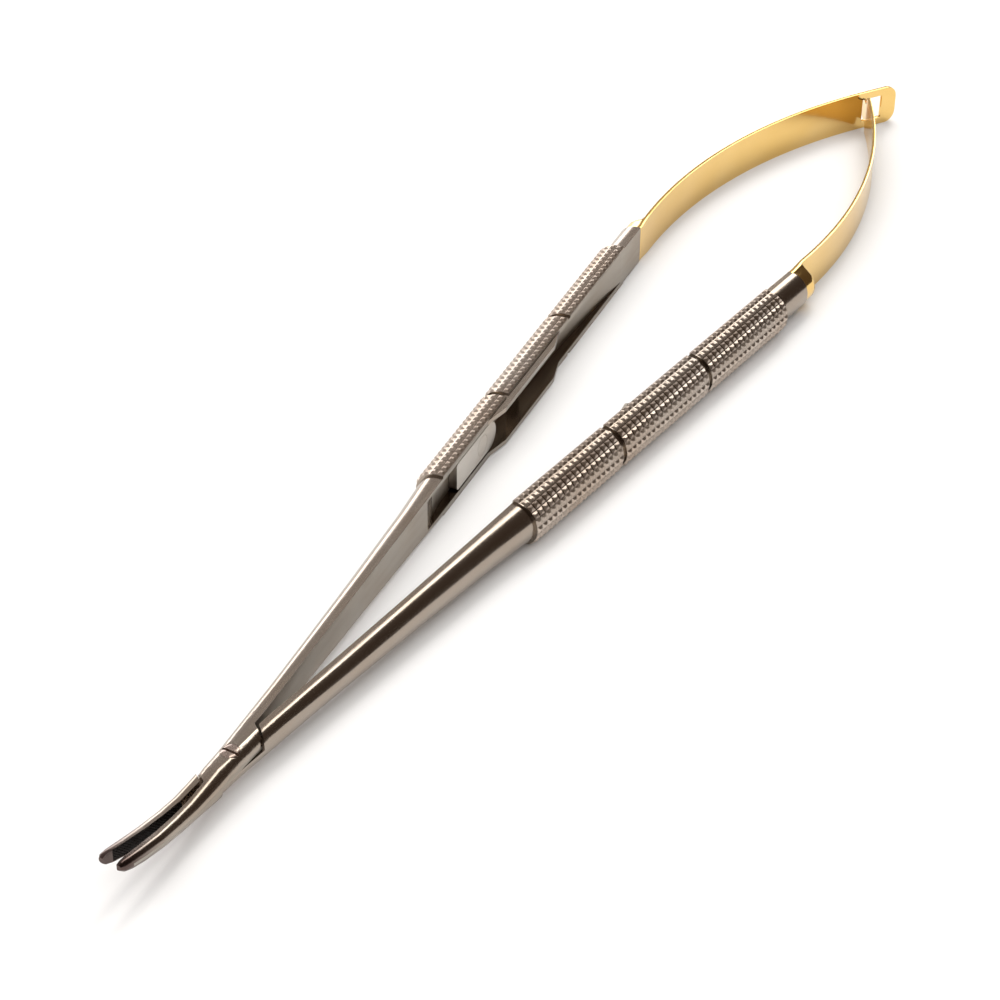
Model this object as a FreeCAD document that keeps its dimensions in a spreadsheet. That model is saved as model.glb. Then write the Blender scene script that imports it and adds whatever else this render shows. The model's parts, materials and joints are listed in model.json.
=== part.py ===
import FreeCAD, Part
import math
import os
import Sketcher
from FreeCAD import Placement, Rotation, Vector

# Spring-handled surgical needle holder with a screw lap joint, curved jaws with hard
# inserts, two D-shaped grips and a pair of interlocking leaf springs at the tail.
# Millimetres and degrees.  +X runs from the pivot to the tail, +Z is the pivot axis.
# Each arm is drawn in its own grip frame: X along the grip from the pivot, the flat
# inner side facing the other arm.  "side" is +1 for the left arm and -1 for the right.

doc = FreeCAD.newDocument("needle_holder")
sheet = doc.addObject("Spreadsheet::Sheet", "dims")

DIMS = [
    # how far each arm is turned open from the closed jaws, and the grip's own splay
    ("open_half", 2.3), ("rake", 3.45),
    # the lap block round the pivot
    ("block_width", 3.7), ("block_height", 3.7), ("block_corner", 1.4),
    ("block_rear", 7.6), ("block_front", 3.5), ("block_front_width", 3.6),
    ("lap_gap", 0.06), ("crotch_gap", 0.12), ("shoulder_gap", 0.17),
    ("rear_shoulder", 5.6), ("rear_slant", 0.85),
    ("front_shoulder", 5.8), ("front_slant", 0.74),
    # the jaws: stations as steps from one to the next, ahead of the pivot
    ("jaw_gap", 0.04), ("jaw_bend_radius", 52.5), ("jaw_bend_from", 5.0),
    ("jaw_a_at", 5.9), ("jaw_a_wide", 3.35), ("jaw_a_high", 3.2), ("jaw_a_corner", 1.3),
    ("insert_root", 9.3), ("jaw_b_wide", 3.05), ("jaw_b_high", 2.5), ("jaw_b_corner", 1.15),
    ("jaw_c_step", 3.2), ("jaw_c_wide", 2.9), ("jaw_c_high", 2.3), ("jaw_c_corner", 1.08),
    ("jaw_d_step", 3.5), ("jaw_d_wide", 2.75), ("jaw_d_high", 2.2), ("jaw_d_corner", 1.03),
    ("jaw_e_step", 3.5), ("jaw_e_wide", 2.55), ("jaw_e_high", 2.1), ("jaw_e_corner", 0.98),
    ("jaw_f_step", 2.2), ("jaw_f_wide", 2.3), ("jaw_f_high", 1.9), ("jaw_f_corner", 0.88),
    ("jaw_g_step", 1.2), ("jaw_g_wide", 1.9), ("jaw_g_high", 1.45), ("jaw_g_corner", 0.66),
    ("jaw_tip_step", 0.5), ("jaw_tip_wide", 1.2), ("jaw_tip_high", 0.8),
    ("jaw_tip_corner", 0.36),
    ("insert_thick", 0.5), ("insert_rim", 0.15), ("insert_fit", 0.02),
    # the shanks, by station behind the pivot
    ("shank_a_at", 13.0), ("shank_a_in", 0.36), ("shank_a_deep", 2.28),
    ("shank_a_half", 1.86), ("shank_a_corner", 1.6),
    ("shank_b_at", 20.0), ("shank_b_in", 0.38), ("shank_b_deep", 2.42),
    ("shank_b_half", 1.97), ("shank_b_corner", 1.8),
    ("shank_c_at", 35.0), ("shank_c_in", 0.42), ("shank_c_deep", 2.72),
    ("shank_c_half", 2.25), ("shank_c_corner", 2.05),
    ("shank_d_at", 50.0), ("shank_d_in", 0.47), ("shank_d_deep", 3.15),
    ("shank_d_half", 2.65), ("shank_d_corner", 2.45),
    ("shank_e_deep", 3.65), ("shank_e_half", 2.95), ("shank_e_corner", 2.8),
    # the grips: a D section with two narrow ring grooves and a plain collar
    ("grip_from", 58.0), ("grip_flat", 0.5), ("grip_deep", 4.07), ("grip_half", 3.27),
    ("grip_corner", 3.2),
    ("ring_front_step", 21.0), ("ring_rear_step", 22.0), ("ring_wide", 0.8),
    ("ring_depth", 0.35),
    ("grip_rear_step", 21.3), ("collar_long", 6.7), ("collar_deep", 3.5),
    ("collar_half", 2.95), ("collar_corner", 2.8),
    # the pivot screw
    ("screw_head", 2.4), ("screw_head_deep", 0.7), ("screw_shank", 1.5),
    ("screw_run", 0.03), ("screw_seat", 0.02), ("screw_slot", 0.34), ("screw_slot_deep", 0.4),
    # the leaf springs
    ("leaf_root", 3.4), ("leaf_straight", 0.6), ("leaf_radius", 82.0), ("leaf_thick", 0.5),
    ("leaf_half", 3.27), ("leaf_seat", 0.1), ("leaf_tab", 5.8), ("leaf_tab_corner", 1.6),
    ("window_long", 3.9), ("window_half", 2.0), ("tongue_play", 0.3), ("tongue_long", 3.2),
    ("tongue_from", 1.7),
    # the latch: a slot and cheeks in the left arm, a plate on a rivet, a catch opposite;
    # its stations are steps from the slot's run-out towards the tail
    ("slot_from", 53.0), ("slot_run", 8.0), ("slot_deep", 1.3), ("slot_half", 2.4),
    ("plate_step", 1.4), ("plate_long", 12.8), ("plate_thick", 1.15), ("plate_sink", 0.06),
    ("plate_play", 0.24), ("plate_corner", 0.5),
    ("pocket_lap", 1.1), ("pocket_deep", 2.25), ("pocket_slope", 1.8), ("pocket_long", 11.3),
    ("ridge_deep", 1.1), ("ridge_long", 1.8), ("channel_deep", 1.75), ("channel_long", 34.0),
    ("cheek_before", 1.7), ("cheek_long", 25.0), ("cheek_ramp", 4.0), ("cheek_proud", 0.95),
    ("cheek_thick", 0.65),
    ("rivet_step", 8.4), ("rivet_head", 3.0), ("rivet_head_deep", 0.55), ("rivet_shank", 1.5),
    ("rivet_run", 0.04), ("rivet_seat", 0.01), ("rivet_bite", 1.2),
    ("catch_step", 7.9), ("catch_ramp", 5.6), ("catch_drop", 0.8), ("catch_long", 4.2),
    ("catch_tall", 1.8), ("catch_half", 1.6), ("catch_heel", 0.9), ("catch_toe", 0.4),
    ("catch_pin_back", 2.2), ("catch_pin", 1.4), ("catch_pin_head", 2.2),
    ("catch_pin_head_deep", 0.4), ("catch_pin_bite", 1.8),
    # stations that follow from the steps above
    ("jaw_c_at", "=insert_root + jaw_c_step"), ("jaw_d_at", "=jaw_c_at + jaw_d_step"),
    ("jaw_e_at", "=jaw_d_at + jaw_e_step"), ("jaw_f_at", "=jaw_e_at + jaw_f_step"),
    ("jaw_g_at", "=jaw_f_at + jaw_g_step"), ("jaw_tip", "=jaw_g_at + jaw_tip_step"),
    ("ring_front", "=grip_from + ring_front_step"),
    ("ring_rear", "=ring_front + ring_rear_step"), ("grip_to", "=ring_rear + grip_rear_step"),
    ("collar_to", "=grip_to + collar_long"), ("slot_floor_from", "=slot_from + slot_run"),
    ("plate_from", "=slot_floor_from + plate_step"), ("plate_to", "=plate_from + plate_long"),
    ("pocket_from", "=plate_to - pocket_lap"), ("ridge_at", "=pocket_from + pocket_long"),
    ("channel_from", "=ridge_at + ridge_long"), ("channel_to", "=channel_from + channel_long"),
    ("cheek_from", "=pocket_from - cheek_before"), ("cheek_to", "=cheek_from + cheek_long"),
    ("rivet_at", "=plate_from + rivet_step"), ("catch_from", "=pocket_from + catch_step"),
    ("catch_peak", "=catch_from + catch_ramp"),
    ("catch_to", "=catch_peak + catch_drop + catch_long"),
    ("catch_pin_at", "=catch_to - catch_pin_back"),
]
for row, (alias, value) in enumerate(DIMS, start=1):
    sheet.set("A%d" % row, alias.replace("_", " "))
    sheet.set("B%d" % row, str(value))
    sheet.setAlias("B%d" % row, alias)
doc.recompute()


def size(expression):
    """The number that an expression over the sheet gives."""
    value = sheet.evalExpression(str(expression))
    return float(getattr(value, "Value", value))


def plane(body, role):
    return [f for f in body.Origin.OriginFeatures if f.Role == role][0]


def new_body(label):
    body = doc.addObject("PartDesign::Body", label)
    body.Label = label
    return body


def sketch(body, name, role, outline, at=(0, 0, 0), turn_axis=None, turn="0"):
    """A closed outline on one of the body's planes.

    outline: (x, y) or (x, y, radius, bend) expressions; with a radius the edge from that
    point to the next is an arc that bulges to the left (bend +1) or right (-1).
    """
    sk = body.newObject("Sketcher::SketchObject", name)
    sk.AttachmentSupport = (plane(body, role), [""])
    sk.MapMode = "FlatFace"
    axis = turn_axis or Vector(0, 0, 1)
    sk.AttachmentOffset = Placement(Vector(*[size(v) for v in at]), Rotation(axis, size(turn)))
    for key, value in zip("xyz", at):
        if "dims" in str(value):
            sk.setExpression(".AttachmentOffset.Base." + key, str(value))
    if turn_axis is not None:
        sk.setExpression(".AttachmentOffset.Rotation.Angle", turn)
    points = [Vector(size(p[0]), size(p[1]), 0) for p in outline]
    count = len(points)
    edges, ends = [], []
    for i, p in enumerate(outline):
        a, b = points[i], points[(i + 1) % count]
        if len(p) > 2:
            radius, bend = size(p[2]), p[3]
            half = (b - a).Length / 2
            drop = math.sqrt(max(radius * radius - half * half, 0.0))
            left = Vector(a.y - b.y, b.x - a.x, 0).normalize()
            middle = (a + b) * 0.5 - left * drop * bend
            first, last = (b, a) if bend > 0 else (a, b)
            angles = [math.atan2(q.y - middle.y, q.x - middle.x) for q in (first, last)]
            circle = Part.Circle(middle, Vector(0, 0, 1), radius)
            edges.append(Part.ArcOfCircle(circle, angles[0], angles[1]))
            ends.append((2, 1) if bend > 0 else (1, 2))
        else:
            edges.append(Part.LineSegment(a, b))
            ends.append((1, 2))
    sk.addGeometry(edges, False)
    for i in range(count):
        j = (i + 1) % count
        sk.addConstraint(Sketcher.Constraint("Coincident", i, ends[i][1], j, ends[j][0]))
    for i, p in enumerate(outline):
        for kind, value in (("DistanceX", p[0]), ("DistanceY", p[1])):
            number = size(value)
            c = sk.addConstraint(Sketcher.Constraint(kind, -1, 1, i, ends[i][0], number))
            if "dims" in str(value):
                sk.setExpression("Constraints[%d]" % c, str(value))
        if len(p) > 2:
            c = sk.addConstraint(Sketcher.Constraint("Radius", i, size(p[2])))
            sk.setExpression("Constraints[%d]" % c, str(p[2]))
    sk.Visibility = False
    return sk


def pad(body, name, sk, length, midplane=False, reverse=False):
    f = body.newObject("PartDesign::Pad", name)
    f.Profile = sk
    f.Midplane = midplane
    f.Reversed = reverse
    f.setExpression("Length", length)
    return f


def pocket(body, name, sk, length, midplane=False, reverse=False):
    f = body.newObject("PartDesign::Pocket", name)
    f.Profile = sk
    f.Midplane = midplane
    f.Reversed = reverse
    f.setExpression("Length", length)
    return f


def loft(body, name, sections):
    f = body.newObject("PartDesign::AdditiveLoft", name)
    f.Profile = sections[0]
    f.Sections = sections[1:]
    f.Ruled = True
    return f


RAKE = "(dims.rake * 1 deg)"
OPEN = "((dims.open_half + dims.rake) * 1 deg)"


def half_section(inner, outer, half, corner, side):
    """Flat inner side at inner, rounded outer side at outer, both from the pivot plane."""
    s = "%+d" % side
    y0, y1 = "%s * %s" % (s, inner), "%s * (%s - %s)" % (s, outer, corner)
    y2 = "%s * %s" % (s, outer)
    z1 = "(%s - %s)" % (half, corner)
    bend = side
    return [(y0, "-1 * %s" % half), (y0, half), (y1, half, corner, bend),
            (y2, z1), (y2, "-1 * %s" % z1, corner, bend), (y1, "-1 * %s" % half)]


def full_section(wide, high, corner, rise):
    """A rounded rectangle, centred, its middle raised by rise."""
    y, z = "(%s / 2)" % wide, "(%s / 2)" % high
    yi, zi = "(%s / 2 - %s)" % (wide, corner), "(%s / 2 - %s)" % (high, corner)
    up, low = "(%s + %s)" % (rise, zi), "(%s - %s)" % (rise, zi)
    top, bottom = "(%s + %s)" % (rise, z), "(%s - %s)" % (rise, z)
    return [("-1 * " + yi, top), (yi, top, corner, 1), (y, up), (y, low, corner, 1),
            (yi, bottom), ("-1 * " + yi, bottom, corner, 1), ("-1 * " + y, low),
            ("-1 * " + y, up, corner, 1)]


def rise(at):
    return "(max(%s - dims.jaw_bend_from, 0 * %s)^2 / (2 * dims.jaw_bend_radius))" % (at, at)


def across_block(body, name, at, outline, side, sign=-1):
    """A section square to the block's own centre line, ahead of the pivot (sign -1)."""
    turn = "%+d * %s" % (-side, RAKE)
    x = "%+d * %s" % (sign, at)
    where = ("%+d * (%s) * sin(%s)" % (-side, x, RAKE), "0", "(%s) * cos(%s)" % (x, RAKE))
    return sketch(body, name, "YZ_Plane", outline, where, Vector(0, 1, 0), turn)


def across_grip(body, name, at, outline):
    return sketch(body, name, "YZ_Plane", outline, ("0", "0", at))


def over_block(body, name, outline, side, z):
    """A sketch seen from above, square to the block's centre line, at the height z."""
    turn = "%+d * %s" % (-side, RAKE)
    return sketch(body, name, "XY_Plane", outline, ("0", "0", z), Vector(0, 0, 1), turn)


BLOCK_END = ("(%s + 2 * dims.block_rear * tan(%s))" % ("dims.block_width", RAKE))
JAW = [("jaw_a_at", "jaw_a"), ("insert_root", "jaw_b"), ("jaw_c_at", "jaw_c"),
       ("jaw_d_at", "jaw_d"), ("jaw_e_at", "jaw_e"), ("jaw_f_at", "jaw_f"),
       ("jaw_g_at", "jaw_g"), ("jaw_tip", "jaw_tip")]
WITH_INSERT = ("jaw_b", "jaw_c", "jaw_d", "jaw_e", "jaw_f")
FLAT = "-1 * dims.grip_flat"
INSERT_BACK = "(dims.jaw_gap / 2 + dims.insert_thick)"


def grip_part(body, name, start, stop, inset, side):
    outer = "(dims.grip_deep - dims.grip_flat - %s)" % inset
    half = "(dims.grip_half - %s)" % inset
    corner = "(dims.grip_corner - %s)" % inset
    sk = across_grip(body, name + "_section", start,
                     half_section("(" + FLAT + ")", outer, half, corner, side))
    return pad(body, name, sk, "(%s) - (%s)" % (stop, start))


def insert_sections(body, name, side, shift, grow, front):
    """Outlines of the insert along the jaw, drawn in by shift at both ends, grown by grow."""
    sections = []
    for at, stem in JAW:
        if stem not in WITH_INSERT:
            continue
        at = "dims." + at
        ends = {"jaw_b": "(%s + %s)", "jaw_f": "(%s - %s)"}
        where = ends[stem] % (at, shift) if stem in ends else at
        half = "(dims.%s_high / 2 - dims.insert_rim + %s)" % (stem, grow)
        up, low = "(%s + %s)" % (rise(at), half), "(%s - %s)" % (rise(at), half)
        y0, y1 = "%+d * %s" % (-side, front), "%+d * %s" % (-side, INSERT_BACK)
        sections.append(across_block(body, "%s_%s" % (stem, name), where,
                                     [(y0, low), (y0, up), (y1, up), (y1, low)], side))
    return sections


def arm(label, side):
    body = new_body(label)
    # nose: lap block and both jaws as one closed form, later cut down to this arm's share
    none = "0"
    sections = [
        across_block(body, "block_rear", "dims.block_rear",
                     full_section(BLOCK_END, "dims.block_height", "dims.block_corner", none),
                     side, 1),
        across_block(body, "block_pivot", "0 * dims.block_rear",
                     full_section("dims.block_width", "dims.block_height",
                                  "dims.block_corner", none), side),
        across_block(body, "block_front", "dims.block_front",
                     full_section("dims.block_front_width", "dims.block_height",
                                  "dims.block_corner", none), side)]
    for at, stem in JAW:
        at = "dims." + at
        sections.append(across_block(
            body, stem + "_section", at,
            full_section("dims.%s_wide" % stem, "dims.%s_high" % stem,
                         "dims.%s_corner" % stem, rise(at)), side))
    loft(body, "block_and_jaws", sections)

    # this arm's share of the block: full height behind and ahead of the lap, half height in it
    reach = "(2 * dims.block_width)"
    far, back = "(-2 * dims.jaw_tip)", "(1.6 * dims.block_rear)"
    play, slit = "dims.shoulder_gap / 2", "dims.crotch_gap / 2"
    face = "dims.jaw_gap / 2"

    def rear_line(y, shift):
        return "(dims.rear_shoulder - dims.rear_slant * %s %s %s)" % (y, shift, play)

    def front_line(y, shift):
        return "(-1 * dims.front_shoulder + dims.front_slant * %s %s %s)" % (y, shift, play)

    def mirrored(points):
        return [(x, "%+d * (%s)" % (side, y)) for x, y in points]

    lap = "%+d * dims.lap_gap / 2" % side
    deep = "(3 * dims.block_height)"
    # the half that the other arm's lap fills
    under = mirrored([
        (front_line(reach, "-"), "-1 * " + reach), (front_line(face, "-"), "-1 * " + face),
        (far, "-1 * " + face), (far, reach), (rear_line(reach, "+"), reach),
        (rear_line(slit, "+"), slit), (back, slit), (back, "-1 * " + reach)])
    sk = over_block(body, "lap_under", under, side, lap)
    pocket(body, "lap_recess", sk, deep, reverse=side < 0)
    # the shoulders of the other arm, behind the lap and ahead of it
    rear = mirrored([
        (rear_line(reach, "-"), "-1 * " + reach), (rear_line("(-1 * " + slit + ")", "-"), slit),
        (back, slit), (back, "-1 * " + reach)])
    sk = over_block(body, "rear_shoulder_outline", rear, side, lap)
    pocket(body, "rear_shoulder_cut", sk, deep, reverse=side > 0)
    front = mirrored([
        (front_line(reach, "+"), reach), (front_line("(-1 * " + face + ")", "+"), "-1 * " + face),
        (far, "-1 * " + face), (far, reach)])
    sk = over_block(body, "front_shoulder_outline", front, side, lap)
    pocket(body, "front_shoulder_cut", sk, deep, reverse=side > 0)

    # seat of the hard insert in the jaw's inner face, with a thin rim left all round
    seat = body.newObject("PartDesign::SubtractiveLoft", "insert_seat")
    outlines = insert_sections(body, "seat", side, "0", "dims.insert_fit",
                               "(dims.jaw_gap / 2 - dims.insert_rim)")
    seat.Profile, seat.Sections, seat.Ruled = outlines[0], outlines[1:], True

    # shank: from the block's rear face to the grip
    sections = [across_block(
        body, "shank_front", "dims.block_rear",
        half_section("(dims.crotch_gap / 2)", BLOCK_END + " / 2", "(dims.block_height / 2)",
                     "dims.block_corner", side), side, 1)]
    for stem in ("shank_a", "shank_b", "shank_c", "shank_d"):
        inner = "(-1 * dims.%s_in)" % stem
        outer = "(dims.%s_deep - dims.%s_in)" % (stem, stem)
        sections.append(across_grip(
            body, stem + "_section", "dims.%s_at" % stem,
            half_section(inner, outer, "dims.%s_half" % stem, "dims.%s_corner" % stem, side)))
    sections.append(across_grip(
        body, "shank_e_section", "dims.grip_from",
        half_section("(" + FLAT + ")", "(dims.shank_e_deep - dims.grip_flat)",
                     "dims.shank_e_half", "dims.shank_e_corner", side)))
    loft(body, "shank", sections)

    # grip with its two ring grooves, and the plain collar that holds the leaf spring
    ring = "dims.ring_wide / 2"
    stops = ["dims.grip_from", "dims.ring_front - " + ring, "dims.ring_front + " + ring,
             "dims.ring_rear - " + ring, "dims.ring_rear + " + ring, "dims.grip_to"]
    for i in range(5):
        grip_part(body, "grip_%d" % (i + 1), stops[i], stops[i + 1],
                  "dims.ring_depth" if i % 2 else "0", side)
    collar = across_grip(
        body, "collar_section", "dims.grip_to",
        half_section("(" + FLAT + ")", "(dims.collar_deep - dims.grip_flat)",
                     "dims.collar_half", "dims.collar_corner", side))
    pad(body, "collar", collar, "dims.collar_to - dims.grip_to")
    return body


def inner(offset, side):
    """Distance across the grip of a plane that lies offset below the flat inner side."""
    return "%+d * (%s - dims.grip_flat)" % (side, offset)


def round_hole(body, name, centre, diameter, length, role="XY_Plane", at=("0", "0", "0"),
               midplane=False, reverse=False):
    sk = body.newObject("Sketcher::SketchObject", name + "_circle")
    sk.AttachmentSupport = (plane(body, role), [""])
    sk.MapMode = "FlatFace"
    sk.AttachmentOffset = Placement(Vector(*[size(v) for v in at]), Rotation())
    for key, value in zip("xyz", at):
        if "dims" in str(value):
            sk.setExpression(".AttachmentOffset.Base." + key, str(value))
    x, y = size(centre[0]), size(centre[1])
    sk.addGeometry(Part.Circle(Vector(x, y, 0), Vector(0, 0, 1), size(diameter) / 2), False)
    for kind, value, number in (("DistanceX", centre[0], x), ("DistanceY", centre[1], y)):
        c = sk.addConstraint(Sketcher.Constraint(kind, -1, 1, 0, 3, number))
        if "dims" in str(value):
            sk.setExpression("Constraints[%d]" % c, str(value))
    c = sk.addConstraint(Sketcher.Constraint("Diameter", 0, size(diameter)))
    sk.setExpression("Constraints[%d]" % c, diameter)
    return pocket(body, name, sk, length, midplane, reverse)


left = arm("arm_left", 1)
right = arm("arm_right", -1)

# pivot hole: running in the left arm's upper lap, seated in the right arm's lower lap
through = "(2 * dims.block_height)"
round_hole(left, "pivot_hole", ("0", "0"), "dims.screw_shank + 2 * dims.screw_run",
           through, midplane=True)
round_hole(left, "head_hole", ("0", "0"), "dims.screw_head + 2 * dims.screw_run",
           through, at=("0", "0", "dims.block_height / 2 - dims.screw_head_deep"), reverse=True)
round_hole(right, "screw_hole", ("0", "0"), "dims.screw_shank + 2 * dims.screw_seat",
           through, midplane=True)

# latch slot along the left arm's inner side: run-out, plate floor, deep pocket, channel
slot_radius = ("(((dims.slot_floor_from - dims.slot_from)^2 + dims.slot_deep^2)"
               " / (2 * dims.slot_deep))")
channel_radius = ("(((dims.channel_to - dims.channel_from)^2 + dims.channel_deep^2)"
                  " / (2 * dims.channel_deep))")
clear = inner("-2 * dims.cheek_proud", 1)
profile = [
    ("dims.slot_from", inner("0", 1), slot_radius, 1),
    ("dims.slot_floor_from", inner("dims.slot_deep", 1)),
    ("dims.pocket_from", inner("dims.slot_deep", 1)),
    ("dims.pocket_from + dims.pocket_slope", inner("dims.pocket_deep", 1)),
    ("dims.ridge_at - dims.pocket_slope", inner("dims.pocket_deep", 1)),
    ("dims.ridge_at", inner("dims.ridge_deep", 1)),
    ("dims.channel_from", inner("dims.channel_deep", 1), channel_radius, 1),
    ("dims.channel_to", inner("0", 1)),
    ("dims.channel_to", clear), ("dims.slot_from", clear)]
cheek = [("dims.cheek_from", inner("0", 1)),
         ("dims.cheek_from", inner("dims.ridge_deep / 2", 1)),
         ("dims.cheek_to", inner("dims.ridge_deep / 2", 1)),
         ("dims.cheek_to", inner("0", 1)),
         ("dims.cheek_to - dims.cheek_ramp", inner("-1 * dims.cheek_proud", 1)),
         ("dims.cheek_from + dims.cheek_ramp", inner("-1 * dims.cheek_proud", 1))]
for name, z, back_way in (("upper_cheek", "dims.slot_half", False),
                          ("lower_cheek", "-1 * dims.slot_half", True)):
    sk = sketch(left, name + "_outline", "XY_Plane", cheek, ("0", "0", z))
    pad(left, name, sk, "dims.cheek_thick", reverse=back_way)
sk = sketch(left, "latch_slot_profile", "XY_Plane", profile)
pocket(left, "latch_slot", sk, "2 * dims.slot_half", midplane=True)
round_hole(left, "rivet_hole", ("dims.rivet_at", "0"),
           "dims.rivet_shank + 2 * dims.rivet_seat", "dims.rivet_bite", role="XZ_Plane",
           at=("0", "0", "-1 * (dims.slot_deep - dims.grip_flat)"))
round_hole(right, "catch_pin_hole", ("dims.catch_pin_at", "0"),
           "dims.catch_pin + 2 * dims.rivet_seat", "dims.catch_pin_bite", role="XZ_Plane",
           at=("0", "0", "-1 * dims.grip_flat"), reverse=True)


def jaw_insert(label, side):
    """Hard plate that fills the seat in the jaw's inner face and follows its curve."""
    body = new_body(label)
    loft(body, "plate", insert_sections(body, "plate", side, "dims.insert_fit", "0",
                                        "(dims.jaw_gap / 2)"))
    return body


insert_left = jaw_insert("jaw_insert_left", 1)
insert_right = jaw_insert("jaw_insert_right", -1)

# lengths along the leaf spring: it turns until it reaches the object's centre plane
LEAF_S = "(dims.collar_to + dims.leaf_root + dims.leaf_straight)"
LEAF_T = "(dims.leaf_thick / 2 - dims.grip_flat)"
LEAF_Y = "(%s * sin(%s) + %s * cos(%s))" % (LEAF_S, OPEN, LEAF_T, OPEN)
TURN = "(%s + acos(cos(%s) - %s / dims.leaf_radius))" % (OPEN, OPEN, LEAF_Y)


def along_leaf(radius, turn, ahead, side):
    """A point off the leaf's arc: radius from its centre, then ahead along its heading."""
    x = "(%s + (%s) * sin(%s) + (%s) * cos(%s))" % (LEAF_S, radius, turn, ahead, turn)
    y = "%+d * (%s - dims.leaf_radius + (%s) * cos(%s) - (%s) * sin(%s))" % (
        side, LEAF_T, radius, turn, ahead, turn)
    return x, y


def leaf_spring(label, side):
    body = new_body(label)
    inside = "(dims.leaf_radius - dims.leaf_thick / 2)"
    outside = "(dims.leaf_radius + dims.leaf_thick / 2)"
    start = "(dims.collar_to + dims.leaf_root)"
    face = "%+d * (%s)" % (side, FLAT)
    rear = "%+d * (dims.leaf_thick - dims.grip_flat)" % side
    # half-round root that runs out into the flat strip
    root = [across_grip(body, "root_section", "dims.collar_to",
                        half_section("(" + FLAT + ")",
                                     "(dims.collar_deep - dims.grip_flat - dims.leaf_seat)",
                                     "(dims.collar_half - dims.leaf_seat / 2)",
                                     "(dims.collar_corner - dims.leaf_seat)",
                                     side)),
            across_grip(body, "strip_section", start,
                        half_section("(" + FLAT + ")", "(dims.leaf_thick - dims.grip_flat)",
                                     "dims.leaf_half", "(dims.leaf_thick / 3)", side))]
    loft(body, "root", root)
    if side > 0:
        turn, tab = TURN, "dims.leaf_tab"
    else:
        turn, tab = "(%s - dims.tongue_from / dims.leaf_radius * 1 rad)" % TURN, "0"
    outline = [(start, face), (LEAF_S, face, inside, side),
               along_leaf(inside, turn, "0", side)]
    if side > 0:
        outline += [along_leaf(inside, turn, tab, side), along_leaf(outside, turn, tab, side)]
    outline += [along_leaf(outside, turn, "0", side) + (outside, -side), (LEAF_S, rear),
                (start, rear)]
    sk = sketch(body, "strip_outline", "XY_Plane", outline)
    pad(body, "strip", sk, "2 * dims.leaf_half", midplane=True)
    if side > 0:
        # window that the other leaf's tongue passes through
        near = "(dims.leaf_radius - 2 * dims.leaf_thick)"
        wide = "(dims.leaf_radius + 2 * dims.leaf_thick)"
        before, after = "(-1 * dims.window_long / 2)", "(dims.window_long / 2)"
        sk = sketch(body, "window_outline", "XY_Plane",
                    [along_leaf(near, TURN, before, side), along_leaf(near, TURN, after, side),
                     along_leaf(wide, TURN, after, side), along_leaf(wide, TURN, before, side)])
        pocket(body, "window", sk, "2 * dims.window_half", midplane=True)
        doc.recompute()
        shape = body.Tip.Shape
        ends = []
        end_x = size(along_leaf("dims.leaf_radius", TURN, tab, side)[0])
        for i, edge in enumerate(shape.Edges, start=1):
            middle = edge.CenterOfMass
            if abs(middle.x - end_x) < size("dims.leaf_thick") and abs(abs(middle.z) - size("dims.leaf_half")) < 1e-4:
                if edge.Length < size("dims.leaf_thick") * 1.01:
                    ends.append("Edge%d" % i)
        f = body.newObject("PartDesign::Fillet", "tab_corners")
        f.Base = (body.getObject("window"), ends)
        f.setExpression("Radius", "dims.leaf_tab_corner")
    else:
        back = "(-1 * dims.tongue_from - dims.leaf_thick / 2)"
        sk = sketch(body, "tongue_outline", "XY_Plane",
                    [along_leaf(inside, TURN, back, side),
                     along_leaf(inside, TURN, "dims.tongue_long", side),
                     along_leaf(outside, TURN, "dims.tongue_long", side),
                     along_leaf(outside, TURN, back, side)])
        pad(body, "tongue", sk, "2 * (dims.window_half - dims.tongue_play)", midplane=True)
    return body


leaf_left = leaf_spring("leaf_spring_left", 1)
leaf_right = leaf_spring("leaf_spring_right", -1)

# latch plate: a tongue of plate in the slot, round at the pocket end, hung on the rivet
plate = new_body("lock_plate")
half = "(dims.slot_half - dims.plate_play)"
corner = "dims.plate_corner"
front = "dims.plate_from"
sk = sketch(plate, "plate_outline", "XZ_Plane", [
    (front, "-1 * (%s - %s)" % (half, corner)),
    (front, "%s - %s" % (half, corner), corner, 1),
    ("%s + %s" % (front, corner), half),
    ("dims.plate_to - " + half, half, half, 1),
    ("dims.plate_to", "0", half, 1),
    ("dims.plate_to - " + half, "-1 * " + half),
    ("%s + %s" % (front, corner), "-1 * " + half, corner, 1)],
    ("0", "0", "-1 * (dims.plate_sink - dims.grip_flat)"))
pad(plate, "plate", sk, "dims.plate_thick", reverse=True)
round_hole(plate, "rivet_hole", ("dims.rivet_at", "0"),
           "dims.rivet_shank + 2 * dims.rivet_run", "dims.plate_thick", role="XZ_Plane",
           at=("0", "0", "-1 * (dims.plate_sink - dims.grip_flat)"))
round_hole(plate, "rivet_head_hole", ("dims.rivet_at", "0"),
           "dims.rivet_head + 2 * dims.rivet_run", "dims.rivet_head_deep + dims.rivet_run",
           role="XZ_Plane", at=("0", "0", "-1 * (dims.plate_sink - dims.grip_flat)"))


def turned(label, steps, at, depth_from, side):
    """A stepped pin whose axis runs across the grip; steps are (diameter, from, to)."""
    parts = []
    for i, (diameter, start, stop) in enumerate(steps):
        c = doc.addObject("Part::Cylinder", "%s_step_%d" % (label, i + 1))
        c.setExpression("Radius", "(%s) / 2" % diameter)
        c.setExpression("Height", "(%s) - (%s)" % (stop, start))
        c.Placement = Placement(Vector(), Rotation(Vector(1, 0, 0), -90 * side))
        c.setExpression(".Placement.Base.x", at)
        c.setExpression(".Placement.Base.y", inner("(%s) + (%s)" % (depth_from, start), side))
        parts.append(c)
    fused = doc.addObject("Part::MultiFuse", label)
    fused.Shapes = parts
    fused.Refine = True
    fused.Label = label
    return fused


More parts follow.
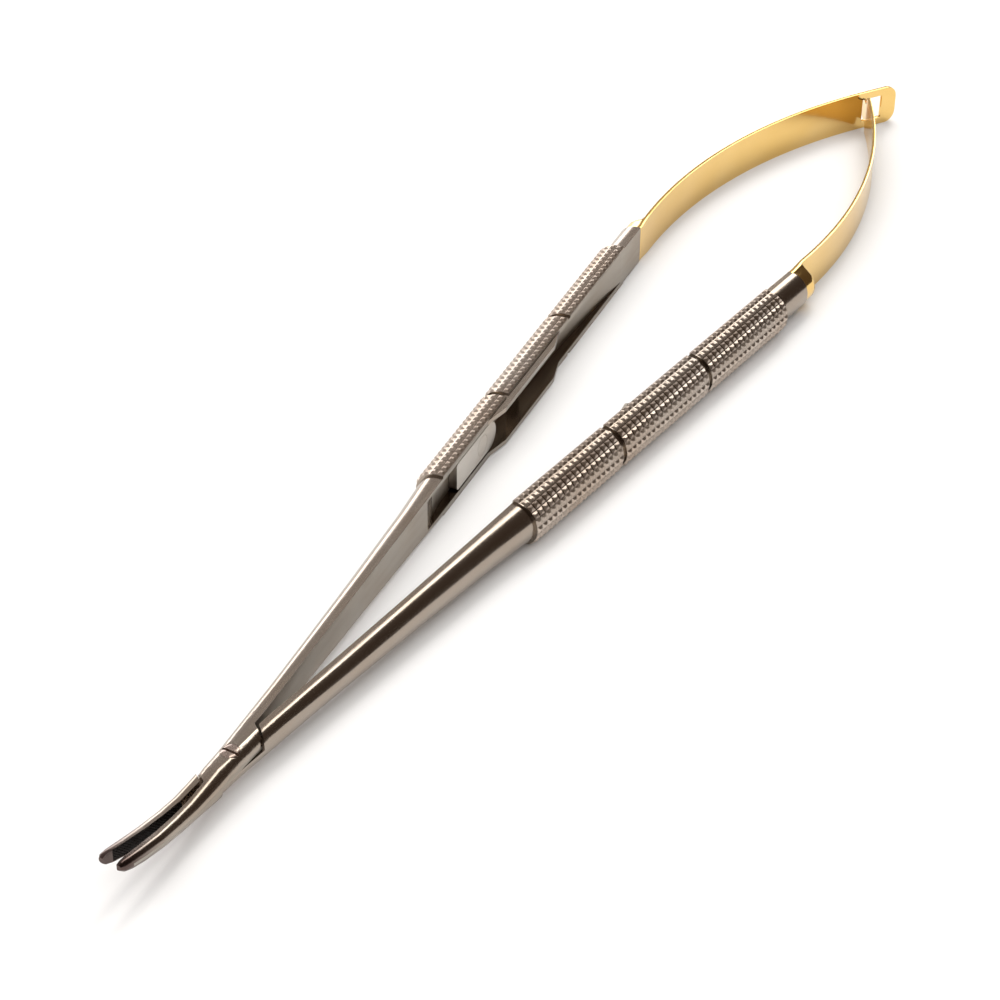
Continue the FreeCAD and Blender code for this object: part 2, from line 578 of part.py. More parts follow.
lock_rivet = turned("lock_rivet", [
    ("dims.rivet_head", "0", "dims.rivet_head_deep"),
    ("dims.rivet_shank", "dims.rivet_head_deep",
     "dims.slot_deep + dims.rivet_bite - dims.plate_sink - dims.rivet_seat")],
    "dims.rivet_at", "dims.plate_sink", 1)

# catch on the right arm's inner side: a ramped hook on a round tenon pinned into the grip
catch = new_body("catch_block")
sk = sketch(catch, "hook_profile", "XY_Plane", [
    ("dims.catch_from", inner("0", -1)),
    ("dims.catch_from", inner("-1 * dims.catch_toe", -1)),
    ("dims.catch_peak", inner("-1 * dims.catch_tall", -1)),
    ("dims.catch_peak + dims.catch_drop", inner("-1 * dims.catch_heel", -1)),
    ("dims.catch_to", inner("-1 * dims.catch_heel", -1)),
    ("dims.catch_to", inner("0", -1))])
pad(catch, "hook", sk, "2 * dims.catch_half", midplane=True)
heel = "-1 * (dims.grip_flat + dims.catch_heel)"
round_hole(catch, "pin_hole", ("dims.catch_pin_at", "0"),
           "dims.catch_pin + 2 * dims.rivet_seat", "2 * dims.catch_tall", role="XZ_Plane",
           at=("0", "0", heel), reverse=True)
round_hole(catch, "pin_head_hole", ("dims.catch_pin_at", "0"),
           "dims.catch_pin_head + 2 * dims.rivet_seat", "dims.catch_pin_head_deep",
           role="XZ_Plane", at=("0", "0", heel), reverse=True)
catch_rivet = turned("catch_rivet", [
    ("dims.catch_pin_head", "0", "dims.catch_pin_head_deep"),
    ("dims.catch_pin", "dims.catch_pin_head_deep",
     "dims.catch_heel + dims.catch_pin_bite - dims.rivet_seat")],
    "dims.catch_pin_at", "-1 * dims.catch_heel", -1)

# pivot screw: flush slotted head ground to the block's round, plain shank, flush end
head = doc.addObject("Part::Cylinder", "screw_head")
head.setExpression("Radius", "dims.screw_head / 2")
head.setExpression("Height", "dims.screw_head_deep")
head.setExpression(".Placement.Base.z",
                   "dims.block_height / 2 - dims.screw_head_deep + dims.screw_seat")
shank = doc.addObject("Part::Cylinder", "screw_shank")
shank.setExpression("Radius", "dims.screw_shank / 2")
shank.setExpression("Height", "dims.block_height - dims.screw_head_deep / 2")
shank.setExpression(".Placement.Base.z", "-1 * dims.block_height / 2")
blank = doc.addObject("Part::MultiFuse", "screw_blank")
blank.Shapes = [head, shank]
envelope = new_body("block_round")
sk = sketch(envelope, "round_section", "YZ_Plane",
            full_section("dims.block_width", "dims.block_height", "dims.block_corner", "0"))
pad(envelope, "round", sk, "2 * dims.screw_head", midplane=True)
ground = doc.addObject("Part::Common", "screw_ground")
ground.Base, ground.Tool = blank, envelope
slot = doc.addObject("Part::Box", "screw_slot")
slot.setExpression("Length", "dims.screw_slot")
slot.setExpression("Width", "2 * dims.screw_head")
slot.setExpression("Height", "2 * dims.screw_slot_deep")
slot.setExpression(".Placement.Base.x", "-1 * dims.screw_slot / 2")
slot.setExpression(".Placement.Base.y", "-1 * dims.screw_head")
slot.setExpression(".Placement.Base.z", "dims.block_height / 2 - dims.screw_slot_deep")
screw = doc.addObject("Part::Cut", "pivot_screw")
screw.Base, screw.Tool = ground, slot
screw.Label = "pivot_screw"
doc.recompute()

NODES = [(left, 1), (right, -1), (insert_left, 1), (insert_right, -1), (screw, 0),
         (leaf_left, 1), (leaf_right, -1), (plate, 1), (lock_rivet, 1), (catch, -1),
         (catch_rivet, -1)]

# the object lies on its side with the origin under the middle of its footprint
for node, side in NODES:
    node.Placement = Placement(Vector(), Rotation(Vector(0, 0, 1), side * size(OPEN)))
doc.recompute()
box = FreeCAD.BoundBox()
for node, side in NODES:
    box.add(node.Shape.optimalBoundingBox(False, False))
shift = Vector(-(box.XMin + box.XMax) / 2, -(box.YMin + box.YMax) / 2, -box.ZMin)
for node, side in NODES:
    node.Placement = Placement(shift, Rotation(Vector(0, 0, 1), side * size(OPEN)))
doc.recompute()

for obj in doc.Objects:
    if "Invalid" in obj.State or "Error" in obj.State:
        raise RuntimeError("%s did not recompute: %s" % (obj.Name, obj.State))
for node, side in NODES:
    if node.Shape.isNull() or not node.Shape.isValid() or not node.Shape.Solids:
        raise RuntimeError("%s has no valid solid" % node.Label)

os.makedirs("parts", exist_ok=True)
print("pivot at %.4f %.4f %.4f" % tuple(shift))
print("size %.3f x %.3f x %.3f" % (box.XLength, box.YLength, box.ZLength))
for node, side in NODES:
    print("%-18s %9.3f mm3, %d solid" % (node.Label, node.Shape.Volume, len(node.Shape.Solids)))
    node.Shape.exportStep("parts/%s.step" % node.Label)
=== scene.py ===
import json
import math

import bmesh
import bpy
from mathutils import Matrix, Vector


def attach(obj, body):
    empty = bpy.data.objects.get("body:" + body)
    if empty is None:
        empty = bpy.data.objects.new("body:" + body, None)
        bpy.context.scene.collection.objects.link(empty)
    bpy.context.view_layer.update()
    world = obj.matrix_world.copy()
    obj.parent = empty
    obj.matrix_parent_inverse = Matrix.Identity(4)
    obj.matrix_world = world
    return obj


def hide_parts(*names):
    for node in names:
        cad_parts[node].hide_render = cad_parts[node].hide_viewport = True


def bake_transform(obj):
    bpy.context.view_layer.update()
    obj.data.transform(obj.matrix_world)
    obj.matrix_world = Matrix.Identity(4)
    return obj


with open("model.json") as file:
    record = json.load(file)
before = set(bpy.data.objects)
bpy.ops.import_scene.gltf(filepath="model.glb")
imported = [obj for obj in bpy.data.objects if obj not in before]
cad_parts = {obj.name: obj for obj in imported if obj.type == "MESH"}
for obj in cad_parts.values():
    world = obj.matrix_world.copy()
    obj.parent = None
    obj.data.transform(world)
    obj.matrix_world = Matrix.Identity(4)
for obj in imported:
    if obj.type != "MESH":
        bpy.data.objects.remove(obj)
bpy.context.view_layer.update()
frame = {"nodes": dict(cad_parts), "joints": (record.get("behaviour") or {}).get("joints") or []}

MM = 0.001

# the arms' places, in millimetres and radians: each is turned open about the pivot by half
# the joint's range, and a grip by its own rake as well; the left one is side 1
pivot_joint = next(joint for joint in frame["joints"] if joint["name"] == "arms_pivot")
PIVOT = Vector(pivot_joint["pos_m"]) / MM
JAW_TURN = math.radians(pivot_joint["range_deg"][1] / 2)
RAKE = math.radians(3.45)
GRIP_TURN = JAW_TURN + RAKE
SIDES = {"left": 1, "right": -1}


def arm_point(along, out, up, turn, side):
    """A point in metres, from millimetres measured from the pivot in a line turned by turn."""
    c, s = math.cos(turn), math.sin(turn)
    return Vector((PIVOT.x + along * c - out * s, side * (along * s + out * c), PIVOT.z + up)) * MM


def grip_point(along, out, up, side):
    """A point by an arm's grip: along it to the tail, outwards and up."""
    return arm_point(along, out, up, GRIP_TURN, side)


def new_piece(name, verts, faces, material, body=None, smooth=False):
    """A mesh piece with the given material, which rides on body, where one is given."""
    mesh = bpy.data.meshes.new(name)
    mesh.from_pydata([tuple(v) for v in verts], [], faces)
    mesh.update()
    bm = bmesh.new()
    bm.from_mesh(mesh)
    bmesh.ops.recalc_face_normals(bm, faces=bm.faces)
    bm.to_mesh(mesh)
    bm.free()
    obj = bpy.data.objects.new(name, mesh)
    bpy.context.scene.collection.objects.link(obj)
    mesh.polygons.foreach_set("use_smooth", [smooth] * len(mesh.polygons))
    mesh.materials.append(material)
    if body:
        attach(obj, body)
    return obj


WELD_WITHIN = 0.004 * MM


def soften(obj, width, angle=35):
    """Small rounded edges, as a tumbled and polished piece has; width is in millimetres."""
    weld = obj.modifiers.new("weld", "WELD")
    weld.merge_threshold = WELD_WITHIN
    bevel = obj.modifiers.new("edges", "BEVEL")
    bevel.width = width * MM
    bevel.segments = 2
    bevel.limit_method = "ANGLE"
    bevel.angle_limit = math.radians(angle)
    bevel.use_clamp_overlap = True
    bevel.miter_outer = "MITER_ARC"
    normals = obj.modifiers.new("normals", "WEIGHTED_NORMAL")
    normals.keep_sharp = True


# materials

GRAIN_DEEP = 0.02 * MM
GLOSSIEST, DULLEST = 0.82, 1.2
WARMER = (0.94, 0.88, 0.82)


def shader_node(tree, kind, values=None):
    """A new shader node, with its sockets set by their names."""
    made = tree.nodes.new("ShaderNode" + kind)
    for socket, value in (values or {}).items():
        made.inputs[socket].default_value = value
    return made


def set_stops(ramp, stops):
    """Gives a new colour ramp its stops, each a place and a colour."""
    elements = ramp.color_ramp.elements
    for i, (at, colour) in ((0, stops[0]), (1, stops[-1])):
        elements[i].position = at
        elements[i].color = (*colour, 1)
    for at, colour in stops[1:-1]:
        elements.new(at).color = (*colour, 1)


def metal(name, colour, rough, grain, grain_scale, drift_to=None):
    """A metal with brush grain, slow colour drift and fine changes of gloss.

    grain is how strong the grain's relief is, grain_scale how fine it is along x, y and z,
    and drift_to the colour that it drifts to, which is otherwise a warmer shade of its own."""
    mat = bpy.data.materials.new(name)
    mat.use_nodes = True
    tree = mat.node_tree
    link = tree.links.new
    bsdf = tree.nodes["Principled BSDF"]
    bsdf.inputs["Metallic"].default_value = 1.0
    place = shader_node(tree, "TexCoord")
    stretch = shader_node(tree, "Mapping", {"Scale": grain_scale})
    link(place.outputs["Object"], stretch.inputs["Vector"])
    brush = shader_node(tree, "TexNoise", {"Scale": 1.0, "Detail": 6.0, "Roughness": 0.6})
    link(stretch.outputs["Vector"], brush.inputs["Vector"])
    drift = shader_node(tree, "TexNoise", {"Scale": 90.0, "Detail": 3.0})
    link(place.outputs["Object"], drift.inputs["Vector"])
    ramp = shader_node(tree, "ValToRGB")
    warm = drift_to or tuple(c * less for c, less in zip(colour, WARMER))
    set_stops(ramp, ((0.35, warm), (0.68, colour)))
    link(drift.outputs["Fac"], ramp.inputs["Fac"])
    link(ramp.outputs["Color"], bsdf.inputs["Base Color"])
    gloss = shader_node(tree, "MapRange", {"From Min": 0.3, "From Max": 0.7,
                                           "To Min": rough * GLOSSIEST, "To Max": rough * DULLEST})
    link(brush.outputs["Fac"], gloss.inputs["Value"])
    link(gloss.outputs["Result"], bsdf.inputs["Roughness"])
    relief = shader_node(tree, "Bump", {"Strength": grain, "Distance": GRAIN_DEEP})
    link(brush.outputs["Fac"], relief.inputs["Height"])
    link(relief.outputs["Normal"], bsdf.inputs["Normal"])
    return mat


def colour_socket(sockets, name):
    """The colour socket of that name: a Mix node has others for numbers and vectors."""
    return next(socket for socket in sockets if socket.type == "RGBA" and socket.name == name)


def paint_tip_shade(mat, start, stop, tip):
    """Painted shade: the jaws darken to the colour tip, from start to stop along x, in metres, which
    dims the bright reflections at their tips.
    """
    tree = mat.node_tree
    link = tree.links.new
    base = tree.nodes["Principled BSDF"].inputs["Base Color"]
    plain = base.links[0].from_socket
    place = shader_node(tree, "TexCoord")
    split = shader_node(tree, "SeparateXYZ")
    share = shader_node(tree, "MapRange", {"From Min": start, "From Max": stop})
    mix = shader_node(tree, "Mix")
    mix.data_type = "RGBA"
    colour_socket(mix.inputs, "B").default_value = (*tip, 1)
    link(place.outputs["Object"], split.inputs["Vector"])
    link(split.outputs["X"], share.inputs["Value"])
    link(share.outputs["Result"], mix.inputs["Factor"])
    link(plain, colour_socket(mix.inputs, "A"))
    link(colour_socket(mix.outputs, "Result"), base)


# how fine the grain is along x, y and z
GRIND, TURNED, DRAWN, EVEN = (70, 700, 700), (900, 900, 60), (60, 900, 900), (900, 900, 900)
STEEL = metal("satin_steel", (0.375, 0.33, 0.285), 0.21, 0.12, DRAWN)
# the knurl is the arm's own steel; its lighter base colour is a painted sheen for the light that its
# crests catch
KNURL = metal("knurled_steel_painted_sheen", (0.56, 0.49, 0.43), 0.40, 0.12, (500, 500, 500))
GROUND = metal("ground_steel", (0.36, 0.33, 0.29), 0.38, 0.25, GRIND)
PLATE = metal("plate_steel", (0.58, 0.55, 0.505), 0.34, 0.20, GRIND)
SCREW = metal("screw_steel", (0.38, 0.31, 0.275), 0.27, 0.25, TURNED)
GOLD = metal("pale_gold", (0.84, 0.59, 0.235), 0.15, 0.10, DRAWN, (0.81, 0.545, 0.185))
HARD = metal("hard_insert", (0.045, 0.040, 0.038), 0.42, 0.35, EVEN)
# painted shade: the satin steel darkens towards the jaws' tips, dimming the reflections there
TIP_SHADE_FROM, TIP_SHADE_TO = -98.0 * MM, -106.0 * MM
paint_tip_shade(STEEL, TIP_SHADE_FROM, TIP_SHADE_TO, (0.10, 0.07, 0.062))


# the CAD pieces that stay, with the width of their rounded edges in millimetres

FINISHES = (
    ("arm_left", STEEL, 0.04), ("arm_right", STEEL, 0.04), ("pivot_screw", SCREW, 0.03),
    ("lock_plate", PLATE, 0.06), ("lock_rivet", PLATE, 0.03),
    ("catch_block", GROUND, 0.12), ("catch_rivet", GROUND, 0.03))
INWARD = {"arm_" + word: Vector((math.sin(GRIP_TURN), -side * math.cos(GRIP_TURN), 0))
          for word, side in SIDES.items()}
FACES_INWARD = 0.985

for node, material, width in FINISHES:
    obj = frame["nodes"][node]
    obj.data.materials.clear()
    obj.data.materials.append(material)
    if node in INWARD:
        # the ground flats that face each other are duller than the polished rounds
        obj.data.materials.append(GROUND)
        obj.data.polygons.foreach_set("material_index", [
            int(polygon.normal.dot(INWARD[node]) > FACES_INWARD)
            for polygon in obj.data.polygons])
    soften(obj, width)


# knurled sleeves on the grips, in millimetres

# the grip's D section: its half height, inner flat, outermost point and corner radius
GRIP_HALF, GRIP_FLAT, GRIP_OUT, GRIP_CORNER = PIVOT.z, -0.5, 3.57, 3.2
KNURL_FROM, KNURL_TO = 58.05, 122.26
RINGS, RING_HALF = (79.0, 101.0), 0.42
SLEEVES = ((KNURL_FROM, RINGS[0] - RING_HALF), (RINGS[0] + RING_HALF, RINGS[1] - RING_HALF),
           (RINGS[1] + RING_HALF, KNURL_TO))
# rows of pyramids round the section and their pitch along it
ROWS, PITCH = 11, 1.15
# heights over the grip's surface, and where the flat crest lies in a pyramid's square
CREST, VALLEY, INSIDE = 0.24, -0.05, -0.25
CREST_CORNERS = ((0.35, 0.35), (0.65, 0.35), (0.65, 0.65), (0.35, 0.65))


def round_corner(angle, up):
    """A point on a corner of the D section whose centre is at the height up, and its normal."""
    normal = (math.cos(angle), math.sin(angle))
    out = GRIP_OUT - GRIP_CORNER + GRIP_CORNER * normal[0]
    return (out, up + GRIP_CORNER * normal[1]), normal


def around_grip(share):
    """From the top flat round the outside to the bottom one: the point (out, up) and the normal."""
    arc = GRIP_CORNER * math.pi / 2
    flat = GRIP_OUT - GRIP_CORNER - GRIP_FLAT
    upright = GRIP_HALF - GRIP_CORNER
    way = share * (2 * flat + 2 * arc + 2 * upright)
    if way <= flat:
        return (GRIP_FLAT + way, GRIP_HALF), (0.0, 1.0)
    way -= flat
    if way <= arc:
        return round_corner(math.pi / 2 - way / GRIP_CORNER, upright)
    way -= arc
    if way <= 2 * upright:
        return (GRIP_OUT, upright - way), (1.0, 0.0)
    way -= 2 * upright
    if way <= arc:
        return round_corner(-way / GRIP_CORNER, -upright)
    way -= arc
    return (GRIP_OUT - GRIP_CORNER - way, -GRIP_HALF), (0.0, -1.0)


def knurl_point(along, share, height, side):
    """A point at a height over the grip's surface, and never below the floor that it lies on."""
    (out, up), normal = around_grip(share)
    up = max(up + normal[1] * height, -GRIP_HALF)
    return grip_point(along, out + normal[0] * height, up, side)


def add_sleeve(verts, faces, start, stop, side):
    """Adds a closed sleeve: pyramids with flat crests on a thin wall that wraps the grip."""
    count = round((stop - start) / PITCH)
    step = (stop - start) / count
    valley, inner = {}, {}
    for i in range(count + 1):
        for j in range(ROWS + 1):
            for points, height in ((valley, VALLEY), (inner, INSIDE)):
                points[i, j] = len(verts)
                verts.append(knurl_point(start + i * step, j / ROWS, height, side))
    for i in range(count):
        for j in range(ROWS):
            foot = [valley[i, j], valley[i + 1, j], valley[i + 1, j + 1], valley[i, j + 1]]
            crest = []
            for di, dj in CREST_CORNERS:
                crest.append(len(verts))
                verts.append(knurl_point(start + (i + di) * step, (j + dj) / ROWS, CREST, side))
            faces.append(crest)
            for a in range(4):
                b = (a + 1) % 4
                faces.append([foot[a], foot[b], crest[b], crest[a]])
            faces.append([inner[i, j], inner[i, j + 1], inner[i + 1, j + 1], inner[i + 1, j]])
    rim = ([(i, 0) for i in range(count)] + [(count, j) for j in range(ROWS)]
           + [(i, ROWS) for i in range(count, 0, -1)] + [(0, j) for j in range(ROWS, 0, -1)])
    for p, q in zip(rim, rim[1:] + rim[:1]):
        faces.append([valley[p], valley[q], inner[q], inner[p]])


for word, side in SIDES.items():
    verts, faces = [], []
    for start, stop in SLEEVES:
        add_sleeve(verts, faces, start, stop, side)
    new_piece("knurl_" + word, verts, faces, KNURL, word + "_arm")


# cross-hatched jaw inserts, in millimetres ahead of the pivot

# stations ahead of the pivot, each with the jaw's height there
JAW_STATIONS = ((9.32, 2.5), (12.5, 2.3), (16.0, 2.2), (19.5, 2.1), (21.68, 1.9))
INSERT_FROM, INSERT_TO = JAW_STATIONS[0][0], JAW_STATIONS[-1][0]
# the steel rim above and below, then how deep the face, the back and the edge's chamfer lie
INSERT_RIM, INSERT_FACE, INSERT_BACK, EDGE_DEEP = 0.15, 0.02, 0.5, 0.05
# where the jaw starts to bend upwards, and its radius
BEND_FROM, BEND_RADIUS = 5.0, 52.5
# the grooves' pitch, depth and width, the last as a share of the pitch
HATCH_PITCH, HATCH_DEEP, HATCH_WIDE = 0.52, 0.11, 0.55
HATCH_ALONG, HATCH_ACROSS = 190, 26


def jaw_height(ahead):
    for (at, high), (next_at, next_high) in zip(JAW_STATIONS, JAW_STATIONS[1:]):
        if ahead <= next_at:
            return high + (next_high - high) * (ahead - at) / (next_at - at)
    return JAW_STATIONS[-1][1]


def jaw_rise(ahead):
    """How far the bent jaw's middle line has risen."""
    return max(ahead - BEND_FROM, 0.0) ** 2 / (2 * BEND_RADIUS)


def hatch(ahead, up):
    """Depth below the face of two sets of fine diagonal grooves."""
    depth = 0.0
    for across in (ahead + up, ahead - up):
        phase = (across / HATCH_PITCH) % 1.0
        depth = max(depth, HATCH_DEEP * max(0.0, 1 - abs(phase - 0.5) * 2 / HATCH_WIDE))
    return depth


def make_insert(word, side):
    """A plate with a grooved face, which stands for the jaw's plain insert."""
    verts, faces, front, back = [], [], {}, {}
    for i in range(HATCH_ALONG + 1):
        ahead = INSERT_FROM + (INSERT_TO - INSERT_FROM) * i / HATCH_ALONG
        half = jaw_height(ahead) / 2
        for j in range(HATCH_ACROSS + 1):
            share = j / HATCH_ACROSS * 2 - 1
            up = share * (half - INSERT_RIM) + jaw_rise(ahead)
            at_edge = i in (0, HATCH_ALONG) or j in (0, HATCH_ACROSS)
            cut = EDGE_DEEP if at_edge else hatch(ahead, share * half)
            for points, deep in ((front, cut), (back, INSERT_BACK)):
                points[i, j] = len(verts)
                verts.append(arm_point(-ahead, -(INSERT_FACE + deep), up, JAW_TURN, side))
    for i in range(HATCH_ALONG):
        for j in range(HATCH_ACROSS):
            faces.append([front[i, j], front[i + 1, j], front[i + 1, j + 1], front[i, j + 1]])
            faces.append([back[i, j], back[i, j + 1], back[i + 1, j + 1], back[i + 1, j]])
        for j in (0, HATCH_ACROSS):
            faces.append([front[i, j], back[i, j], back[i + 1, j], front[i + 1, j]])
    for i in (0, HATCH_ALONG):
        for j in range(HATCH_ACROSS):
            faces.append([front[i, j], front[i, j + 1], back[i, j + 1], back[i, j]])
    plate = new_piece("insert_" + word, verts, faces, HARD, word + "_arm")
    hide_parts("jaw_insert_" + word)


for word, side in SIDES.items():
    make_insert(word, side)


# leaf springs, in millimetres: a half-round root, then a thin strip that bends to the tail

LEAF_FROM, BEND_AT, LEAF_RADIUS, LEAF_THICK, LEAF_HALF = 129.0, 133.0, 82.0, 0.5, GRIP_HALF
LEAF_MIDDLE = LEAF_THICK / 2 + GRIP_FLAT
# the strip bends until it meets the middle plane, where it crosses the other leaf
LEAF_OUT = BEND_AT * math.sin(GRIP_TURN) + LEAF_MIDDLE * math.cos(GRIP_TURN)
LEAF_TURN = GRIP_TURN + math.acos(math.cos(GRIP_TURN) - LEAF_OUT / LEAF_RADIUS)
CROSSING = BEND_AT - LEAF_FROM + LEAF_RADIUS * LEAF_TURN
# the left leaf's window and tab, from the place where the leaves cross
WINDOW_BEFORE, WINDOW_AFTER, WINDOW_HALF = 0.8, 3.0, 2.0
WINDOW = (CROSSING - WINDOW_BEFORE, CROSSING + WINDOW_AFTER)
TAB_LONG, TAB_CORNER = 5.8, 2.0
# the right leaf's tongue, which goes through the window, and its shoulders before it
TONGUE_HALF, TONGUE_LONG, TONGUE_CORNER = 1.7, 3.2, 0.9
SHOULDER_BEFORE, SHOULDER_RUN = 1.9, 0.25
# the root: its length and half height, where it widens to the strip, and its round back
ROOT_LONG, ROOT_HALF, WIDENS = 4.0, 2.9, (0.4, 3.8)
BACK_RADIUS, BACK_OUT, BACK_BLEND = 2.78, 0.55, 0.25
RUNOUT_AT, RUNOUT_SLOPE = 2.8, 4.2
# the mesh's rows: close together in the tail, and kept clear of those at the window's ends
TAIL_BEFORE, TAIL_STEP, ROW_CLEAR, LEAST_HALF, TINY = 4.0, 0.1, 0.06, 0.35, 1e-6
# the root's rows as start, stop and step, closer where its round back runs out
ROOT_ROWS, RUNOUT_ROWS = (0.0, 3.0, 0.5), (2.9, 3.95, 0.15)
HALF_ACROSS = [0.25, 0.45, WINDOW_HALF / LEAF_HALF, 0.8, 0.9, 0.95, 0.985, 1.0]
ACROSS = [-share for share in reversed(HALF_ACROSS)] + [0.0] + HALF_ACROSS
# the steps to a square's four neighbours, each with the two ends of the edge between them
NEIGHBOURS = ((-1, 0, (0, 0), (0, 1)), (1, 0, (1, 0), (1, 1)),
              (0, -1, (0, 0), (1, 0)), (0, 1, (0, 1), (1, 1)))


def leaf_point(way, offset, up, side):
    """A point at the distance way along a leaf from the collar, offset outwards of its middle."""
    along = LEAF_FROM + way
    if along <= BEND_AT:
        return grip_point(along, LEAF_MIDDLE + offset, up, side)
    turn = min((along - BEND_AT) / LEAF_RADIUS, LEAF_TURN)
    past = along - BEND_AT - LEAF_RADIUS * turn
    radius = LEAF_RADIUS + offset
    bent = BEND_AT + radius * math.sin(turn) + past * math.cos(turn)
    out = LEAF_MIDDLE - LEAF_RADIUS + radius * math.cos(turn) - past * math.sin(turn)
    return grip_point(bent, out, up, side)


def ease(start, stop, value):
    """0 before start, 1 after stop, and a smooth step between them."""
    share = min(max((value - start) / (stop - start), 0.0), 1.0)
    return share * share * (3 - 2 * share)


def corner_loss(way, end, corner):
    """What the rounded corners at a strip's end take off its half height."""
    into = max(way - end + corner, 0.0)
    return corner - math.sqrt(max(corner * corner - into * into, 0.0))


def leaf_half(way, side):
    """Half height of the leaf at the distance way along it."""
    half = ROOT_HALF + (LEAF_HALF - ROOT_HALF) * ease(*WIDENS, way)
    if side > 0:
        half -= corner_loss(way, CROSSING + TAB_LONG, TAB_CORNER)
    else:
        shoulder = CROSSING - SHOULDER_BEFORE
        run = (shoulder - SHOULDER_RUN, shoulder + SHOULDER_RUN)
        half -= (LEAF_HALF - TONGUE_HALF) * ease(*run, way)
        half -= corner_loss(way, CROSSING + TONGUE_LONG, TONGUE_CORNER)
    return max(half, LEAST_HALF)


def leaf_back(way, up):
    """Thickness of the leaf: the half-round root runs out into the flat strip."""
    if way >= ROOT_LONG:
        return LEAF_THICK
    root = BACK_OUT + math.sqrt(max(BACK_RADIUS ** 2 - up * up, 0.0))
    run = root - RUNOUT_SLOPE * max(way - RUNOUT_AT, 0.0)
    near = max(0.0, 1 - abs(run - LEAF_THICK) / (2 * BACK_BLEND))
    return max(run, LEAF_THICK) + BACK_BLEND * near ** 2 / 2


def spaced(start, stop, step):
    """Values a step apart, from start until just before stop."""
    return [start + i * step for i in range(math.ceil((stop - start) / step - TINY))]


def leaf_ways(side):
    """Where along the leaf its mesh has a row of points."""
    end = CROSSING + (TAB_LONG if side > 0 else TONGUE_LONG)
    tail = CROSSING - TAIL_BEFORE
    ways = (spaced(*ROOT_ROWS) + spaced(*RUNOUT_ROWS) + [ROOT_LONG]
            + spaced(ROOT_LONG + 1.0, tail, 1.0) + spaced(tail, end, TAIL_STEP) + [end])
    if side > 0:
        ways = sorted([way for way in ways if min(abs(way - x) for x in WINDOW) > ROW_CLEAR]
                      + list(WINDOW))
    return ways


def in_window(way, up):
    return WINDOW[0] < way < WINDOW[1] and abs(up) < WINDOW_HALF


def make_leaf(word, side):
    """A leaf as one closed mesh, whose strip is bent behind its collar."""
    ways = leaf_ways(side)
    solid = []
    for i in range(len(ways) - 1):
        for j in range(len(ACROSS) - 1):
            way = (ways[i] + ways[i + 1]) / 2
            up = (ACROSS[j] + ACROSS[j + 1]) / 2 * LEAF_HALF
            if side < 0 or not in_window(way, up):
                solid.append((i, j))
    verts, faces, index = [], [], {}

    def vertex(i, j, back):
        """The number of a point on the leaf's front or back, which is made at its first use."""
        if (i, j, back) not in index:
            up = ACROSS[j] * leaf_half(ways[i], side)
            offset = -LEAF_THICK / 2 + back * leaf_back(ways[i], up)
            index[i, j, back] = len(verts)
            verts.append(leaf_point(ways[i], offset, up, side))
        return index[i, j, back]

    filled = set(solid)
    for i, j in solid:
        for back in (0, 1):
            faces.append([vertex(i, j, back), vertex(i + 1, j, back),
                          vertex(i + 1, j + 1, back), vertex(i, j + 1, back)])
        for di, dj, a, b in NEIGHBOURS:
            if (i + di, j + dj) not in filled:
                p, q = (i + a[0], j + a[1]), (i + b[0], j + b[1])
                faces.append([vertex(*p, 0), vertex(*q, 0), vertex(*q, 1), vertex(*p, 1)])
    leaf = new_piece("leaf_" + word, verts, faces, GOLD, smooth=True)
    soften(leaf, 0.05, angle=60)
    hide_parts("leaf_spring_" + word)
    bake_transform(leaf)


for word, side in SIDES.items():
    make_leaf(word, side)


# floor, surroundings, lights and camera

FLOOR_REACH = 3.0
# the surroundings' colour along y, from -1 to 1 as 0 to 1: dark on one side, pale on the other
SURROUNDINGS = ((0.0, (0.10, 0.085, 0.075)), (0.15, (0.085, 0.062, 0.048)),
                (0.53, (0.11, 0.084, 0.068)), (0.67, (0.42, 0.38, 0.36)),
                (1.0, (0.70, 0.66, 0.64)))


def add_floor():
    corners = [(x * FLOOR_REACH, y * FLOOR_REACH, 0) for x, y in ((-1, -1), (1, -1), (1, 1), (-1, 1))]
    mesh = bpy.data.meshes.new("floor")
    mesh.from_pydata(corners, [], [(0, 1, 2, 3)])
    floor = bpy.data.objects.new("floor", mesh)
    bpy.context.scene.collection.objects.link(floor)
    paper = bpy.data.materials.new("pale_floor")
    paper.use_nodes = True
    surface = paper.node_tree.nodes["Principled BSDF"].inputs
    surface["Base Color"].default_value = (0.93, 0.93, 0.925, 1)
    surface["Roughness"].default_value = 0.9
    surface["Specular IOR Level"].default_value = 0.1
    mesh.materials.append(paper)


def add_surroundings():
    world = bpy.data.worlds.new("studio")
    bpy.context.scene.world = world
    world.use_nodes = True
    tree = world.node_tree
    link = tree.links.new
    place = shader_node(tree, "TexCoord")
    split = shader_node(tree, "SeparateXYZ")
    share = shader_node(tree, "MapRange", {"From Min": -1.0})
    ramp = shader_node(tree, "ValToRGB")
    set_stops(ramp, SURROUNDINGS)
    link(place.outputs["Generated"], split.inputs["Vector"])
    link(split.outputs["Y"], share.inputs["Value"])
    link(share.outputs["Result"], ramp.inputs["Fac"])
    link(ramp.outputs["Color"], tree.nodes["Background"].inputs["Color"])
    tree.nodes["Background"].inputs["Strength"].default_value = 1.0


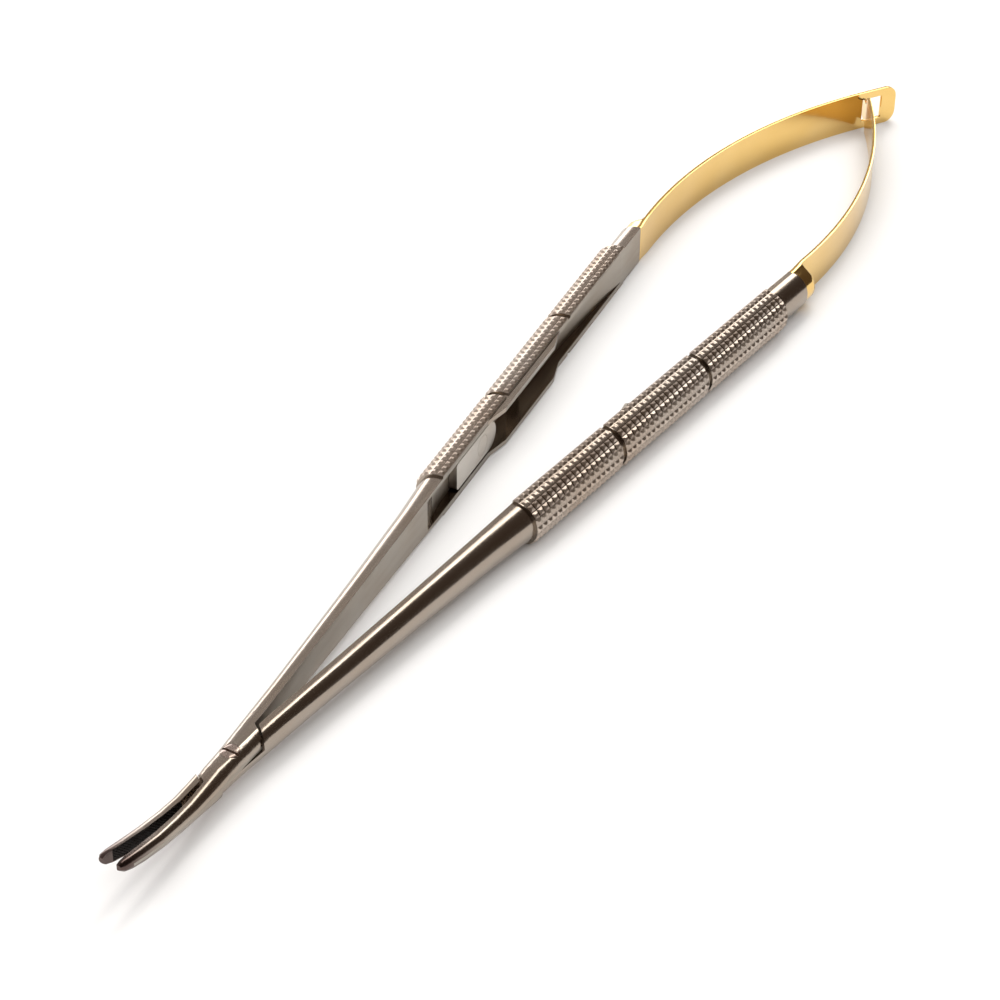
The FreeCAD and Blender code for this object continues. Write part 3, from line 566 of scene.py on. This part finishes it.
def from_direction(azimuth, elevation, far):
    """The point far from the origin in a direction given in degrees."""
    a, e = math.radians(azimuth), math.radians(elevation)
    return Vector((math.cos(e) * math.cos(a), math.cos(e) * math.sin(a), math.sin(e))) * far


def soft_light(name, place, size, watts, colour=(1, 1, 1)):
    """A panel that faces the part; its first size lies across the part's length, its second along."""
    data = bpy.data.lights.new(name, "AREA")
    data.shape = "RECTANGLE"
    data.size, data.size_y = size
    data.energy = watts
    data.color = colour
    obj = bpy.data.objects.new(name, data)
    bpy.context.scene.collection.objects.link(obj)
    obj.location = place
    away = place.normalized()
    along = (Vector((1, 0, 0)) - away * away.x).normalized()
    obj.rotation_euler = Matrix((along.cross(away), along, away)).transposed().to_euler()
    return obj


add_floor()
add_surroundings()
soft_light("key", from_direction(12, 46.5, 1.0), (0.24, 0.9), 3.3, (1, 0.985, 0.95))
soft_light("back", from_direction(46, 11, 1.1), (0.32, 0.9), 3.6, (1, 0.98, 0.99))
# the fill lights the floor, which the metal mirrors, and isn't mirrored itself
fill = soft_light("fill", from_direction(-150, 80, 1.1), (2.2, 2.2), 21.5)
fill.visible_glossy = False

# the photograph's viewing angle in degrees, distance in millimetres and focal length in pixels
# of a frame 1000 wide, fitted to the outlines
AZIMUTH, ELEVATION, ROLL = -150.278, 36.899, 0.373
AIM, FAR = Vector((-22.768, -1.651, 3.27)), 355.535
FOCAL, FRAME_WIDE, SENSOR_WIDE = 2656.57, 1000.0, 36.0

towards = from_direction(AZIMUTH, ELEVATION, 1.0)
camera = bpy.data.objects.new("camera", bpy.data.cameras.new("camera"))
camera.data.sensor_width = SENSOR_WIDE
camera.data.lens = FOCAL * SENSOR_WIDE / FRAME_WIDE
camera.data.clip_start = 0.01
camera.data.clip_end = 10.0
camera.location = (AIM + towards * FAR) * MM
turn = (-towards).to_track_quat("-Z", "Y").to_matrix() @ Matrix.Rotation(math.radians(ROLL), 3, "Z")
camera.rotation_euler = turn.to_euler()
bpy.context.scene.collection.objects.link(camera)
bpy.context.scene.camera = camera
bpy.context.scene.view_settings.view_transform = "Standard"
